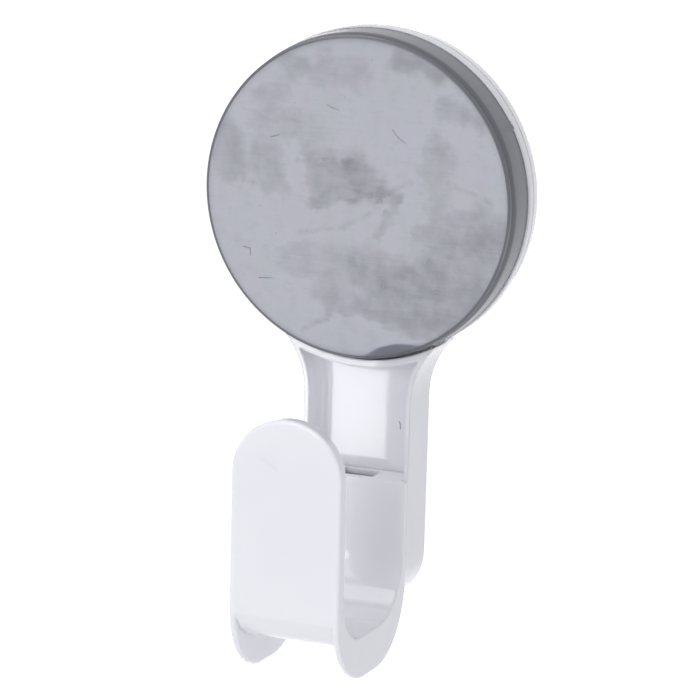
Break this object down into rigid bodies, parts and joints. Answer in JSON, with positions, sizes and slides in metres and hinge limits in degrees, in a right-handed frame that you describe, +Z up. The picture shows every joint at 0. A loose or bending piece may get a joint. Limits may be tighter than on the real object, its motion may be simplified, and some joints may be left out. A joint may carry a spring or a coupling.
{
  "type": "suction cup hook",
  "caption": "Wall hook on a round suction pad: a soft flat disc in a plastic dish, with a deep open hook below that faces the same way as the pad.",
  "frame": {"origin": "centre of the suction pad's flat sealing face", "axes": "-Y out of the sealing face, on the side where the hook opens; +Z up as the hook is used; +X to the right seen from the front"},
  "size_m": [0.0942, 0.0685, 0.1783],
  "materials": {
    "grey_pad": "glossy, smooth moulded",
    "white_plastic": "glossy moulded",
    "screw_steel": "plated, satin"
  },
  "bodies": {
    "root": {"suction_pad": "grey_pad", "body_shell": "white_plastic", "back_cover": "white_plastic", "hook": "white_plastic", "hook_screws": "screw_steel"}
  },
  "joints": []
}
